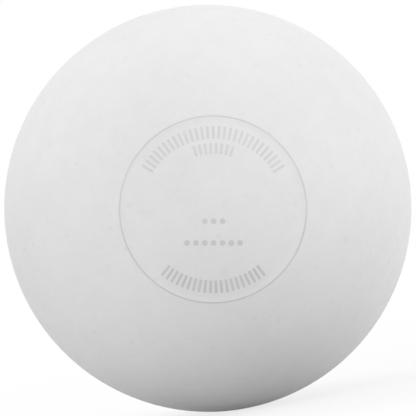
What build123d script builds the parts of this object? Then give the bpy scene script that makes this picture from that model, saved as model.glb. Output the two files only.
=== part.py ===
from build123d import *
from math import asin, degrees, pi
import os

# Lacrosse ball: one solid rubber moulding with a printed ring round a shallow panel on its front.
# Millimetres. The origin is the ball's centre, +Z is up, and the printed ring faces -Y.
# The mould opens along Y, so the ball is round about Y and its parting line lies in the XZ plane.

# Driving dimensions
BALL_DIAMETER = 63.5
SEAM_WIDTH = 0.6
SEAM_HEIGHT = 0.05
RING_DIAMETER = 27.6
RING_LINE_WIDTH = 0.25
RING_GROOVE_DEPTH = 0.12
RING_INK_THICKNESS = 0.09
PANEL_DEPTH = 0.15
PANEL_RIM_WIDTH = 1.2

BALL_RADIUS = BALL_DIAMETER / 2
FRONT_POLE = 0.0
EQUATOR = 90.0
REAR_POLE = 180.0


def arc_angle(length):
    """The angle, in degrees, that a short length along the ball's surface takes up."""
    return degrees(length / BALL_RADIUS)


# Angles from the front pole, in degrees, where the surface features begin and end
RING_ANGLE = degrees(asin(RING_DIAMETER / BALL_DIAMETER))
RING_INNER = RING_ANGLE - arc_angle(RING_LINE_WIDTH) / 2
RING_OUTER = RING_ANGLE + arc_angle(RING_LINE_WIDTH) / 2
PANEL_EDGE = RING_INNER - arc_angle(PANEL_RIM_WIDTH)
SEAM_FRONT = EQUATOR - arc_angle(SEAM_WIDTH) / 2
SEAM_REAR = EQUATOR + arc_angle(SEAM_WIDTH) / 2
GROOVE_FLOOR = BALL_RADIUS - RING_GROOVE_DEPTH
PANEL_FLOOR = BALL_RADIUS - PANEL_DEPTH


def point_at(radius, angle):
    """A point of the half profile, which lies at X >= 0 and is turned about Y."""
    return Vector(0, -radius, 0).rotate(Axis.Z, angle)


def arc_at(radius, start, end):
    """An arc about the ball's centre, from one angle to another."""
    middle = (start + end) / 2
    return ThreePointArc(point_at(radius, start), point_at(radius, middle), point_at(radius, end))


def wall_at(angle, start_radius, end_radius):
    """A straight wall that points at the ball's centre."""
    return Line(point_at(start_radius, angle), point_at(end_radius, angle))


def turned(edges):
    """The solid that a closed half profile makes when it is turned about Y."""
    return revolve(make_face(edges), Axis.Y)


def rubber_ball():
    """The moulding: a solid ball with a panel, a groove for the ring and a ridge on the mould's parting line."""
    panel_rim = TangentArc(
        point_at(PANEL_FLOOR, PANEL_EDGE),
        point_at(BALL_RADIUS, RING_INNER),
        tangent=Vector(1, 0, 0).rotate(Axis.Z, PANEL_EDGE),
    )
    ridge = Polyline(
        point_at(BALL_RADIUS, SEAM_FRONT),
        point_at(BALL_RADIUS + SEAM_HEIGHT, EQUATOR),
        point_at(BALL_RADIUS, SEAM_REAR),
    )
    return turned(
        [
            arc_at(PANEL_FLOOR, FRONT_POLE, PANEL_EDGE),
            panel_rim,
            wall_at(RING_INNER, BALL_RADIUS, GROOVE_FLOOR),
            arc_at(GROOVE_FLOOR, RING_INNER, RING_OUTER),
            wall_at(RING_OUTER, GROOVE_FLOOR, BALL_RADIUS),
            arc_at(BALL_RADIUS, RING_OUTER, SEAM_FRONT),
            ridge,
            arc_at(BALL_RADIUS, SEAM_REAR, REAR_POLE),
            Line(point_at(BALL_RADIUS, REAR_POLE), point_at(PANEL_FLOOR, FRONT_POLE)),
        ]
    )


def printed_ring():
    """The ink: a thin band that fills the groove from its floor up, just short of the ball's surface."""
    ink_face = GROOVE_FLOOR + RING_INK_THICKNESS
    return turned(
        [
            arc_at(GROOVE_FLOOR, RING_INNER, RING_OUTER),
            wall_at(RING_OUTER, GROOVE_FLOOR, ink_face),
            arc_at(ink_face, RING_OUTER, RING_INNER),
            wall_at(RING_INNER, ink_face, GROOVE_FLOOR),
        ]
    )


pieces = {
    "rubber_ball": rubber_ball(),
    "printed_ring": printed_ring(),
}

os.makedirs("parts", exist_ok=True)
for name, solid in pieces.items():
    solid.label = name
    export_step(solid, f"parts/{name}.step")
    print(f"{name}: {solid.volume:.2f} mm3")
print(f"circumference: {pi * BALL_DIAMETER:.1f} mm")
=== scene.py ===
from math import asin, atan2, cos, pi, radians, sin, sqrt, tan

import bmesh
import bpy
from mathutils import Matrix, Quaternion, Vector, noise


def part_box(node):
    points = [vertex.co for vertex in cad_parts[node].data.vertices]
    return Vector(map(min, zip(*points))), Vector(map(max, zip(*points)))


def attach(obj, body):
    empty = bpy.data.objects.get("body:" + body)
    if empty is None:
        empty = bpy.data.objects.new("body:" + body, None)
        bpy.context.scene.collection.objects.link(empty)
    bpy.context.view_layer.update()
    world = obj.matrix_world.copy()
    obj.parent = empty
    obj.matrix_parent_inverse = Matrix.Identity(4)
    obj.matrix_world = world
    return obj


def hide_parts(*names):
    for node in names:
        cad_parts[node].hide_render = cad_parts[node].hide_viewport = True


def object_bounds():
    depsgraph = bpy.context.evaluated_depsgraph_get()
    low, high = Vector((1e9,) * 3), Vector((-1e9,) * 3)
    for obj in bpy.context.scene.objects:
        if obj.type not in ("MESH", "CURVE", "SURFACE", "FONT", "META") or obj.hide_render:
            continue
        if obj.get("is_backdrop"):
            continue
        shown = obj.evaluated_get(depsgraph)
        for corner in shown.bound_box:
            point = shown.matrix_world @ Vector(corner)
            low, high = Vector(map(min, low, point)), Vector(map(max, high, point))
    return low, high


# Lacrosse ball: a solid white rubber moulding with a thin ring and plain marks printed on its front.
# Metres. The origin is the ball's centre, +Z is up, and the printed side faces -Y.

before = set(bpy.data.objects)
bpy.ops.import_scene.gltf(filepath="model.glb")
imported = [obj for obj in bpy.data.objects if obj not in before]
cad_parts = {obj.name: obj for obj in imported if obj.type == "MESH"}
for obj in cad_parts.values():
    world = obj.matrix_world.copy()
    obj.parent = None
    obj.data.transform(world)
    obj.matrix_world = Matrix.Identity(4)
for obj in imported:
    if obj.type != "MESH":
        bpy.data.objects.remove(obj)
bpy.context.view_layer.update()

MM = 0.001
CENTRE = Vector((0, 0, 0))
ACROSS = Vector((1, 0, 0))
BALL_AXIS = Vector((0, 1, 0))
UP = Vector((0, 0, 1))
FRONT = -BALL_AXIS

# The moulding, with its panel on the front and its parting line in the XZ plane
ball_low, ball_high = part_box("rubber_ball")
BALL_RADIUS = ball_high.y
PANEL_RADIUS = -ball_low.y
PANEL_RIM_WIDTH = 1.2 * MM
RIDGE_HEIGHT = ball_high.x - BALL_RADIUS
RIDGE_WIDTH = 0.6 * MM

# How far the moulding strays from a true sphere: broad swells and smaller waves
SWELL_HEIGHT = 0.035 * MM
SWELL_WAVES = 1.6
WAVE_HEIGHT = 0.006 * MM
WAVE_WAVES = 7.0

# The printed ring, which lies in a shallow groove
ring_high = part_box("printed_ring")[1]
RING_LINE_WIDTH = 0.25 * MM
GROOVE_DEPTH = 0.12 * MM
INK_SINK = 0.03 * MM
RING_OUTER = asin(ring_high.x / (BALL_RADIUS - INK_SINK))
RING_INNER = RING_OUTER - RING_LINE_WIDTH / BALL_RADIUS

# The printed marks on the panel
INK_PROUD = 0.012 * MM
INK_THICKNESS = 0.03 * MM
TICK_WIDTH = 0.4 * MM
DOT_RADIUS = 0.42 * MM
DOT_PITCH = 1.3 * MM

# How finely the meshes are divided, merged and smoothed
TURN_STEPS = 256
ARC_STEP = radians(1.5)
RIM_STEPS = 6
GROOVE_STEPS = 2
TICK_STEPS = 3
DOT_SIDES = 20
MERGE_DISTANCE = 0.0005 * MM
SHARP_ANGLE = radians(30)

# The camera, set so that the ball and its ring lie in the picture as they do in the photograph.
# The picture's side and the outline's radius are in pixels, the sensor's width is in millimetres, and the
# bearing, rise and roll are in degrees.
PICTURE_SIDE = 416
OUTLINE_RADIUS = 203.5
SENSOR_WIDTH = 36.0
CAMERA_DISTANCE = 16.1 * BALL_RADIUS
CAMERA_BEARING = -1.42
CAMERA_RISE = 0.61
CAMERA_ROLL = 10
AIM_HEIGHT = 0.05 * MM
LENS_AXIS = Vector((0, 0, 1))

# The studio: its floor is pale for the light and paler for the camera, and turns white away from the ball
FLOOR_SIDE = 6.0
FLOOR_PALE = 0.6
FLOOR_SEEN_PALE = 0.95
FLOOR_LIFT = 0.78
FLOOR_WHITE_FROM = 0.3
SKY_FILL = 0.74
SOFTBOX_SIDE = 0.4
SOFTBOX_DISTANCE = 0.9
WHITE = (1, 1, 1, 1)

# The rubber's finish: its clouds, its specks and the ground band along the parting line
RUBBER_LIGHT = (0.875, 0.875, 0.875, 1)
RUBBER_DARK = (0.76, 0.76, 0.76, 1)
RUBBER_ROUGH = 0.66
RUBBER_SMOOTH = 0.58
RUBBER_GLOSS = 0.4
SPECK_GREY = (0.50, 0.50, 0.50, 1)
SPECK_STRENGTH = 0.14
BAND_GREY = (0.76, 0.76, 0.76, 1)
BAND_STRENGTH = 0.6
BAND_ROUGH = 0.8
SCRATCH_STRETCH = (0.03, 1.0, 0.03)

# The ink's finish
RING_GREY = (0.635, 0.635, 0.635, 1)
MARK_GREY = (0.62, 0.62, 0.62, 1)
INK_ROUGH = 0.52

# The height of the surface's tooth, and a pit's depth as a share of it
GRAIN_HEIGHT = 0.03 * MM
PIT_DEPTH = 0.6

# The Mix node's sockets for numbers and for colours have the same names, so they go by their places
NUMBER_A, NUMBER_B, NUMBER_OUT = 2, 3, 0
COLOUR_A, COLOUR_B, COLOUR_OUT = 6, 7, 2


# Shapes

def arc_steps(angle):
    """How many steps an arc about the ball's centre takes."""
    return max(1, round(angle / ARC_STEP))


def draw_arc(bm, point, angle, steps, centre=CENTRE):
    """Turns the profile's last point about a centre, which draws an arc, and gives the new last point."""
    turned = bmesh.ops.spin(bm, geom=[point], cent=centre, axis=UP, angle=angle, steps=steps)
    return next(part for part in turned["geom_last"] if isinstance(part, bmesh.types.BMVert))


def draw_wall(bm, point, height):
    """Draws a short wall away from the ball's centre, or towards it below 0, and gives the new last point."""
    top = bmesh.ops.extrude_vert_indiv(bm, verts=[point])["verts"][0]
    top.co += top.co.normalized() * height
    return top


def draw_panel_rim(bm, point):
    """Draws the arc that leaves the panel level and climbs to the ball's surface."""
    angle = PANEL_RIM_WIDTH / BALL_RADIUS
    run = BALL_RADIUS * sin(angle)
    rise = BALL_RADIUS * cos(angle) - PANEL_RADIUS
    rim_radius = (run * run + rise * rise) / (2 * rise)
    centre = point.co + point.co.normalized() * rim_radius
    return draw_arc(bm, point, -2 * atan2(rise, run), RIM_STEPS, centre)


def turn_about_axis(bm):
    """Turns the profile a full turn about the ball's axis and closes the seam and the poles."""
    profile = bm.verts[:] + bm.edges[:]
    bmesh.ops.spin(
        bm, geom=profile, cent=CENTRE, axis=BALL_AXIS, angle=2 * pi, steps=TURN_STEPS, use_merge=True
    )
    bmesh.ops.remove_doubles(bm, verts=bm.verts, dist=MERGE_DISTANCE)


def uneven(direction):
    """How far the moulding stands off a true sphere in a direction."""
    swell = noise.noise(direction * SWELL_WAVES)
    wave = noise.noise(direction * WAVE_WAVES)
    return SWELL_HEIGHT * swell + WAVE_HEIGHT * wave


def follow_moulding(bm):
    """Moves every point in or out with the moulding's own unevenness."""
    for vert in bm.verts:
        direction = vert.co.normalized()
        vert.co += direction * uneven(direction)


def finish_piece(bm, name, material):
    """Makes the mesh a piece that rides on the ball."""
    bmesh.ops.recalc_face_normals(bm, faces=bm.faces)
    mesh = bpy.data.meshes.new(name)
    bm.to_mesh(mesh)
    bm.free()
    mesh.shade_smooth()
    mesh.set_sharp_from_angle(angle=SHARP_ANGLE)
    mesh.materials.append(material)
    piece = bpy.data.objects.new(name, mesh)
    bpy.context.scene.collection.objects.link(piece)
    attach(piece, "root")
    return piece


def rubber_moulding(material):
    """The ball: a profile with the panel, the ring's groove and the parting line's ridge, turned about Y."""
    panel = RING_INNER - PANEL_RIM_WIDTH / BALL_RADIUS
    ridge_half = RIDGE_WIDTH / 2 / BALL_RADIUS
    front_zone = pi / 2 - ridge_half - RING_OUTER
    rear_zone = pi / 2 - ridge_half
    bm = bmesh.new()
    point = bm.verts.new(FRONT * PANEL_RADIUS)
    point = draw_arc(bm, point, panel, arc_steps(panel))
    point = draw_panel_rim(bm, point)
    point = draw_wall(bm, point, -GROOVE_DEPTH)
    point = draw_arc(bm, point, RING_OUTER - RING_INNER, GROOVE_STEPS)
    point = draw_wall(bm, point, GROOVE_DEPTH)
    point = draw_arc(bm, point, front_zone, arc_steps(front_zone))
    point = draw_arc(bm, point, ridge_half, steps=1)
    point.co += point.co.normalized() * RIDGE_HEIGHT
    point = draw_arc(bm, point, ridge_half, steps=1)
    point.co -= point.co.normalized() * RIDGE_HEIGHT
    point = draw_arc(bm, point, rear_zone, arc_steps(rear_zone))
    turn_about_axis(bm)
    follow_moulding(bm)
    piece = finish_piece(bm, "moulded_ball", material)
    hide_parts("rubber_ball")


def ink_ring(material):
    """The printed ring: a band of ink that fills the groove to just under the surface."""
    bm = bmesh.new()
    first = bm.verts.new(FRONT * (BALL_RADIUS - GROOVE_DEPTH))
    bmesh.ops.rotate(bm, verts=[first], cent=CENTRE, matrix=Matrix.Rotation(RING_INNER, 3, UP))
    point = draw_arc(bm, first, RING_OUTER - RING_INNER, GROOVE_STEPS)
    point = draw_wall(bm, point, GROOVE_DEPTH - INK_SINK)
    point = draw_arc(bm, point, RING_INNER - RING_OUTER, GROOVE_STEPS)
    bm.edges.new((point, first))
    turn_about_axis(bm)
    follow_moulding(bm)
    piece = finish_piece(bm, "ink_ring", material)
    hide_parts("printed_ring")


def add_tick(bm, bearing, reach, height):
    """A flat tick in the XZ plane, which points away from the ring's middle."""
    flat = bmesh.ops.create_grid(bm, x_segments=1, y_segments=TICK_STEPS, size=0.5)
    place = (
        Matrix.Rotation(radians(bearing), 4, BALL_AXIS)
        @ Matrix.Translation(UP * reach)
        @ Matrix.Rotation(pi / 2, 4, ACROSS)
        @ Matrix.Diagonal((TICK_WIDTH, height, 1, 1))
    )
    bmesh.ops.transform(bm, matrix=place, verts=flat["verts"])


def add_dot(bm, across, up):
    """A flat round dot in the XZ plane."""
    flat = bmesh.ops.create_circle(bm, cap_ends=True, radius=DOT_RADIUS, segments=DOT_SIDES)
    place = Matrix.Translation((across, 0, up)) @ Matrix.Rotation(pi / 2, 4, ACROSS)
    bmesh.ops.transform(bm, matrix=place, verts=flat["verts"])


def tick_row(bm, middle, spread, count, reach, height):
    """Ticks at even steps along an arc about the ring's middle, with its middle and spread in degrees."""
    for index in range(count):
        share = index / (count - 1) - 0.5
        add_tick(bm, middle + spread * share, reach, height)


def dot_row(bm, count, up):
    """Dots at even steps along a level line."""
    for index in range(count):
        add_dot(bm, (index - (count - 1) / 2) * DOT_PITCH, up)


def lay_on_panel(bm):
    """Presses flat shapes from the front onto the panel's surface."""
    reach = PANEL_RADIUS + INK_PROUD
    for vert in bm.verts:
        x, z = vert.co.x, vert.co.z
        vert.co.y = -sqrt(reach * reach - x * x - z * z)


def ink_marks(material):
    """Plain printed marks: ticks in two arcs at the top and one below, and two rows of dots.

    They are turned as far as the camera is rolled, so they are upright in its picture.
    """
    bm = bmesh.new()
    tick_row(bm, middle=0, spread=116, count=29, reach=11.4 * MM, height=1.9 * MM)
    tick_row(bm, middle=0, spread=35, count=8, reach=9.0 * MM, height=1.6 * MM)
    tick_row(bm, middle=180, spread=76, count=20, reach=11.4 * MM, height=1.9 * MM)
    dot_row(bm, count=3, up=-1.7 * MM)
    dot_row(bm, count=7, up=-4.9 * MM)
    upright = Matrix.Rotation(radians(CAMERA_ROLL), 3, BALL_AXIS)
    bmesh.ops.rotate(bm, verts=bm.verts, cent=CENTRE, matrix=upright)
    lay_on_panel(bm)
    follow_moulding(bm)
    bmesh.ops.recalc_face_normals(bm, faces=bm.faces)
    bmesh.ops.solidify(bm, geom=bm.faces[:], thickness=INK_THICKNESS)
    finish_piece(bm, "ink_marks", material)


# Node trees

def add_node(tree, kind, inputs=None, **settings):
    """Adds a node. An input is a plain value, or another node's output to link from."""
    node = tree.nodes.new(kind)
    for name, value in settings.items():
        setattr(node, name, value)
    for name, value in (inputs or {}).items():
        if isinstance(value, bpy.types.NodeSocket):
            tree.links.new(value, node.inputs[name])
        else:
            node.inputs[name].default_value = value
    return node


def calculate(tree, operation, first, second=0.0):
    """One sum with two numbers."""
    return add_node(tree, "ShaderNodeMath", {0: first, 1: second}, operation=operation).outputs["Value"]


def ramp(tree, value, start, end, low=0.0):
    """A smooth change from low to 1 as the value goes from start to end."""
    inputs = {"Value": value, "From Min": start, "From Max": end, "To Min": low, "To Max": 1.0}
    return add_node(tree, "ShaderNodeMapRange", inputs, interpolation_type="SMOOTHSTEP").outputs["Result"]


def blend_value(tree, share, first, second):
    """A number between two others."""
    inputs = {"Factor": share, NUMBER_A: first, NUMBER_B: second}
    return add_node(tree, "ShaderNodeMix", inputs, data_type="FLOAT").outputs[NUMBER_OUT]


def blend_colour(tree, share, first, second):
    """A colour between two others."""
    inputs = {"Factor": share, COLOUR_A: first, COLOUR_B: second}
    return add_node(tree, "ShaderNodeMix", inputs, data_type="RGBA").outputs[COLOUR_OUT]


def soft_noise(tree, position, size):
    """Smooth noise from 0 to 1, with features of a size in millimetres."""
    scale = calculate(tree, "DIVIDE", 1 / MM, size)
    inputs = {"Vector": position, "Scale": scale, "Detail": 2.0, "Roughness": 0.5}
    return add_node(tree, "ShaderNodeTexNoise", inputs).outputs["Fac"]


def new_group(name, values, result):
    """A node group that takes a position and named values, and gives one named result."""
    tree = bpy.data.node_groups.new(name, "ShaderNodeTree")
    tree.interface.new_socket("Position", in_out="INPUT", socket_type="NodeSocketVector")
    for value in values:
        tree.interface.new_socket(value, in_out="INPUT", socket_type="NodeSocketFloat")
    tree.interface.new_socket(result, in_out="OUTPUT", socket_type="NodeSocketFloat")
    return tree, tree.nodes.new("NodeGroupInput").outputs


def give(tree, result):
    """Sends the group's result out."""
    out = tree.nodes.new("NodeGroupOutput")
    tree.links.new(result, out.inputs[0])


def cloudy_tone_group():
    """Faint light and dark clouds, with blotches and a fine mottling in them, from 0 to 1."""
    values = ("Cloud Size", "Blotch Size", "Mottle Size", "Blotch Share", "Mottle Share")
    tree, given = new_group("Cloudy Tone", values, "Tone")
    cloud = soft_noise(tree, given["Position"], given["Cloud Size"])
    blotch = soft_noise(tree, given["Position"], given["Blotch Size"])
    mottle = soft_noise(tree, given["Position"], given["Mottle Size"])
    broad = blend_value(tree, given["Blotch Share"], cloud, blotch)
    give(tree, blend_value(tree, given["Mottle Share"], broad, mottle))
    return tree


def moulded_grain_group():
    """The fine tooth that the mould leaves, over a slight ripple."""
    tree, given = new_group("Moulded Grain", ("Grain Size", "Ripple Size", "Ripple Share"), "Height")
    grain = soft_noise(tree, given["Position"], given["Grain Size"])
    ripple = soft_noise(tree, given["Position"], given["Ripple Size"])
    give(tree, blend_value(tree, given["Ripple Share"], grain, ripple))
    return tree


def stray_specks_group():
    """Small soft specks of uneven size, in a share of the cells of a loose net."""
    tree, given = new_group("Stray Specks", ("Spacing", "Speck Size", "Rarity"), "Mask")
    scale = calculate(tree, "DIVIDE", 1 / MM, given["Spacing"])
    cells = add_node(tree, "ShaderNodeTexVoronoi", {"Vector": given["Position"], "Scale": scale})
    chance = add_node(tree, "ShaderNodeSeparateColor", {"Color": cells.outputs["Color"]}).outputs["Red"]
    share = ramp(tree, chance, given["Rarity"], 1.0)
    away = calculate(tree, "MULTIPLY", cells.outputs["Distance"], given["Spacing"])
    reach = calculate(tree, "MULTIPLY", share, given["Speck Size"])
    inside = calculate(tree, "SUBTRACT", reach, away)
    give(tree, calculate(tree, "MULTIPLY", ramp(tree, inside, 0.0, given["Speck Size"]), share))
    return tree


def worn_print_and_painted_light_group():
    """How well the ink covers, thin and broken in places, times painted light from above, which leaves the
    ink full at the foot of the print and paler towards its top.
    """
    values = ("Patch Size", "Pinhole Size", "Thinness", "Print Height", "Fade")
    tree, given = new_group("Worn Print And Painted Light", values, "Cover And Painted Light")
    patch = soft_noise(tree, given["Position"], given["Patch Size"])
    pinhole = soft_noise(tree, given["Position"], given["Pinhole Size"])
    thin = calculate(tree, "MULTIPLY", ramp(tree, patch, start=0.4, end=0.75), given["Thinness"])
    hole = calculate(tree, "MULTIPLY", ramp(tree, pinhole, start=0.55, end=0.75), given["Thinness"])
    level = add_node(tree, "ShaderNodeSeparateXYZ", {"Vector": given["Position"]}).outputs["Z"]
    climb = calculate(tree, "DIVIDE", calculate(tree, "DIVIDE", level, MM), given["Print Height"])
    # Painted light from above: the ink is made paler towards the top of the print, which is no wear.
    fade = calculate(tree, "MULTIPLY", ramp(tree, climb, start=-0.5, end=0.5), given["Fade"])
    worn = calculate(tree, "SUBTRACT", 1.0, calculate(tree, "MAXIMUM", thin, hole))
    give(tree, calculate(tree, "MULTIPLY", worn, calculate(tree, "SUBTRACT", 1.0, fade)))
    return tree


def trimmed_band_group():
    """The band beside the parting line where the flash was ground off, with fine scratches along it."""
    tree, given = new_group("Trimmed Band", ("Band Width", "Scratch Size"), "Mask")
    along = add_node(tree, "ShaderNodeSeparateXYZ", {"Vector": given["Position"]}).outputs["Y"]
    from_line = calculate(tree, "DIVIDE", calculate(tree, "ABSOLUTE", along), MM)
    half = calculate(tree, "MULTIPLY", given["Band Width"], 0.5)
    band = calculate(tree, "SUBTRACT", 1.0, ramp(tree, from_line, 0.0, half))
    drawn_out = add_node(
        tree, "ShaderNodeVectorMath", {0: given["Position"], 1: SCRATCH_STRETCH}, operation="MULTIPLY"
    ).outputs["Vector"]
    scratches = soft_noise(tree, drawn_out, given["Scratch Size"])
    scratched = ramp(tree, scratches, start=0.3, end=0.7, low=0.4)
    give(tree, calculate(tree, "MULTIPLY", band, scratched))
    return tree


CLOUDY_TONE = cloudy_tone_group()
MOULDED_GRAIN = moulded_grain_group()
STRAY_SPECKS = stray_specks_group()
WORN_PRINT_AND_PAINTED_LIGHT = worn_print_and_painted_light_group()
TRIMMED_BAND = trimmed_band_group()


def use_group(tree, group, position, **values):
    """Puts a group in a material with its own values, sizes in millimetres, and gives its result."""
    inputs = {name.replace("_", " ").title(): value for name, value in values.items()}
    return add_node(tree, "ShaderNodeGroup", {"Position": position, **inputs}, node_tree=group).outputs[0]


def new_material(name):
    """A material with an empty Principled shader, and the object's own coordinates."""
    material = bpy.data.materials.new(name)
    material.use_nodes = True
    tree = material.node_tree
    position = add_node(tree, "ShaderNodeTexCoord").outputs["Object"]
    return material, tree, tree.nodes["Principled BSDF"], position


def add_grain(tree, shader, position, pits=0.0):
    """Gives the shader the tooth of the moulded rubber, with pits where there are any."""
    grain = use_group(tree, MOULDED_GRAIN, position, grain_size=0.7, ripple_size=3.0, ripple_share=0.5)
    height = calculate(tree, "SUBTRACT", grain, calculate(tree, "MULTIPLY", pits, PIT_DEPTH))
    bump = add_node(tree, "ShaderNodeBump", {"Height": height, "Distance": GRAIN_HEIGHT, "Strength": 1.0})
    tree.links.new(bump.outputs["Normal"], shader.inputs["Normal"])


def white_rubber():
    """Matte white rubber, faintly clouded, with stray specks and a ground band at the parting line."""
    material, tree, shader, position = new_material("white_rubber")
    tone = use_group(
        tree, CLOUDY_TONE, position,
        cloud_size=9.0, blotch_size=3.0, mottle_size=0.7, blotch_share=0.6, mottle_share=0.35,
    )
    speck = use_group(tree, STRAY_SPECKS, position, spacing=1.7, speck_size=0.7, rarity=0.4)
    band = use_group(tree, TRIMMED_BAND, position, band_width=3.0, scratch_size=0.12)
    clouded = blend_colour(tree, tone, RUBBER_DARK, RUBBER_LIGHT)
    ground = blend_colour(tree, calculate(tree, "MULTIPLY", band, BAND_STRENGTH), clouded, BAND_GREY)
    specked = blend_colour(tree, calculate(tree, "MULTIPLY", speck, SPECK_STRENGTH), ground, SPECK_GREY)
    tree.links.new(specked, shader.inputs["Base Color"])
    rough = blend_value(tree, tone, RUBBER_ROUGH, RUBBER_SMOOTH)
    tree.links.new(blend_value(tree, band, rough, BAND_ROUGH), shader.inputs["Roughness"])
    shader.inputs["Specular IOR Level"].default_value = RUBBER_GLOSS
    add_grain(tree, shader, position, pits=speck)
    return material


def printed_ink(name, colour, thinness, fade):
    """Flat grey ink on the rubber, a little thin and broken in places, with painted light that makes it paler
    towards the top.
    """
    material, tree, shader, position = new_material(name)
    cover_and_painted_light = use_group(
        tree, WORN_PRINT_AND_PAINTED_LIGHT, position,
        patch_size=4.0, pinhole_size=0.12, thinness=thinness, print_height=24.0, fade=fade,
    )
    tree.links.new(blend_colour(tree, cover_and_painted_light, RUBBER_LIGHT, colour), shader.inputs["Base Color"])
    tree.links.new(blend_value(tree, cover_and_painted_light, RUBBER_ROUGH, INK_ROUGH), shader.inputs["Roughness"])
    shader.inputs["Specular IOR Level"].default_value = RUBBER_GLOSS
    add_grain(tree, shader, position)
    return material


# Studio

def view_ray(tree):
    """1 for what the camera sees, straight or in a reflection, and 0 for what lights the object."""
    path = add_node(tree, "ShaderNodeLightPath").outputs
    straight_or_mirrored = calculate(tree, "MAXIMUM", path["Is Camera Ray"], path["Is Glossy Ray"])
    return calculate(tree, "MAXIMUM", straight_or_mirrored, path["Is Transmission Ray"])


def studio_paper():
    """Pale paper, which the camera sees as nearly white, with the ball's shadow on it."""
    material, tree, shader, position = new_material("studio_paper")
    seen = view_ray(tree)
    pale = blend_value(tree, seen, FLOOR_PALE, FLOOR_SEEN_PALE)
    tree.links.new(pale, shader.inputs["Base Color"])
    shader.inputs["Roughness"].default_value = 1.0
    shader.inputs["Specular IOR Level"].default_value = 0.0
    white = add_node(tree, "ShaderNodeEmission", {"Strength": 1.0})
    away = add_node(tree, "ShaderNodeVectorMath", {0: position}, operation="LENGTH").outputs["Value"]
    whiteness = ramp(tree, away, start=BALL_RADIUS, end=FLOOR_WHITE_FROM, low=FLOOR_LIFT)
    lift = calculate(tree, "MULTIPLY", seen, whiteness)
    mix = add_node(
        tree, "ShaderNodeMixShader", {0: lift, 1: shader.outputs["BSDF"], 2: white.outputs["Emission"]}
    )
    tree.links.new(mix.outputs["Shader"], tree.nodes["Material Output"].inputs["Surface"])
    return material


def studio_floor():
    """The floor that the ball lies on."""
    bm = bmesh.new()
    bmesh.ops.create_grid(bm, x_segments=1, y_segments=1, size=FLOOR_SIDE / 2)
    bmesh.ops.translate(bm, verts=bm.verts, vec=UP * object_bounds()[0].z)
    mesh = bpy.data.meshes.new("studio_floor")
    bm.to_mesh(mesh)
    bm.free()
    mesh.materials.append(studio_paper())
    floor = bpy.data.objects.new("studio_floor", mesh)
    bpy.context.scene.collection.objects.link(floor)
    floor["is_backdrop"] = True


def studio_sky():
    """An even fill from all round, which the camera sees as white."""
    sky = bpy.data.worlds.new("studio_sky")
    sky.use_nodes = True
    tree = sky.node_tree
    fill = tree.nodes["Background"]
    fill.inputs["Color"].default_value = WHITE
    fill.inputs["Strength"].default_value = SKY_FILL
    white = add_node(tree, "ShaderNodeBackground", {"Color": WHITE, "Strength": 1.0})
    mix = add_node(tree, "ShaderNodeMixShader", {0: view_ray(tree), 1: fill.outputs[0], 2: white.outputs[0]})
    tree.links.new(mix.outputs["Shader"], tree.nodes["World Output"].inputs["Surface"])
    bpy.context.scene.world = sky


def direction_to(bearing, rise):
    """The way to a thing, by its bearing from the front towards +X and its rise, both in degrees."""
    level = cos(radians(rise))
    return Vector((sin(radians(bearing)) * level, -cos(radians(bearing)) * level, sin(radians(rise))))


def softbox(name, bearing, rise, watts):
    """A square soft lamp that faces the ball."""
    lamp = bpy.data.lights.new(name, "AREA")
    lamp.shape = "SQUARE"
    lamp.size = SOFTBOX_SIDE
    lamp.energy = watts
    stand = bpy.data.objects.new(name, lamp)
    away = direction_to(bearing, rise)
    stand.location = away * SOFTBOX_DISTANCE
    stand.rotation_euler = away.to_track_quat("Z", "Y").to_euler()
    stand.visible_camera = False
    bpy.context.scene.collection.objects.link(stand)


def camera():
    """A long lens, nearly level with the ball's centre and rolled a little."""
    lens = bpy.data.cameras.new("camera")
    outline_slope = tan(asin(BALL_RADIUS / CAMERA_DISTANCE))
    edge_slope = outline_slope * (PICTURE_SIDE / 2) / OUTLINE_RADIUS
    lens.sensor_width = SENSOR_WIDTH
    lens.lens = SENSOR_WIDTH / 2 / edge_slope
    lens.clip_start = BALL_RADIUS
    stand = bpy.data.objects.new("camera", lens)
    stand.location = direction_to(CAMERA_BEARING, CAMERA_RISE) * CAMERA_DISTANCE
    level = (UP * AIM_HEIGHT - stand.location).to_track_quat("-Z", "Y")
    roll = Quaternion(LENS_AXIS, -radians(CAMERA_ROLL))
    stand.rotation_euler = (level @ roll).to_euler()
    bpy.context.scene.collection.objects.link(stand)
    bpy.context.scene.camera = stand


rubber_moulding(white_rubber())
# The last number of each is painted light, which makes the ink paler towards the top of the print.
ink_ring(printed_ink("ring_ink", RING_GREY, thinness=0.2, fade=0.15))
ink_marks(printed_ink("mark_ink", MARK_GREY, thinness=0.2, fade=0.3))

studio_floor()
studio_sky()
softbox("left_softbox", bearing=-40, rise=14, watts=1.7)
softbox("right_softbox", bearing=80, rise=14, watts=2.5)
softbox("top_softbox", bearing=-140, rise=66, watts=1.35)
camera()
bpy.context.scene.view_settings.view_transform = "Standard"
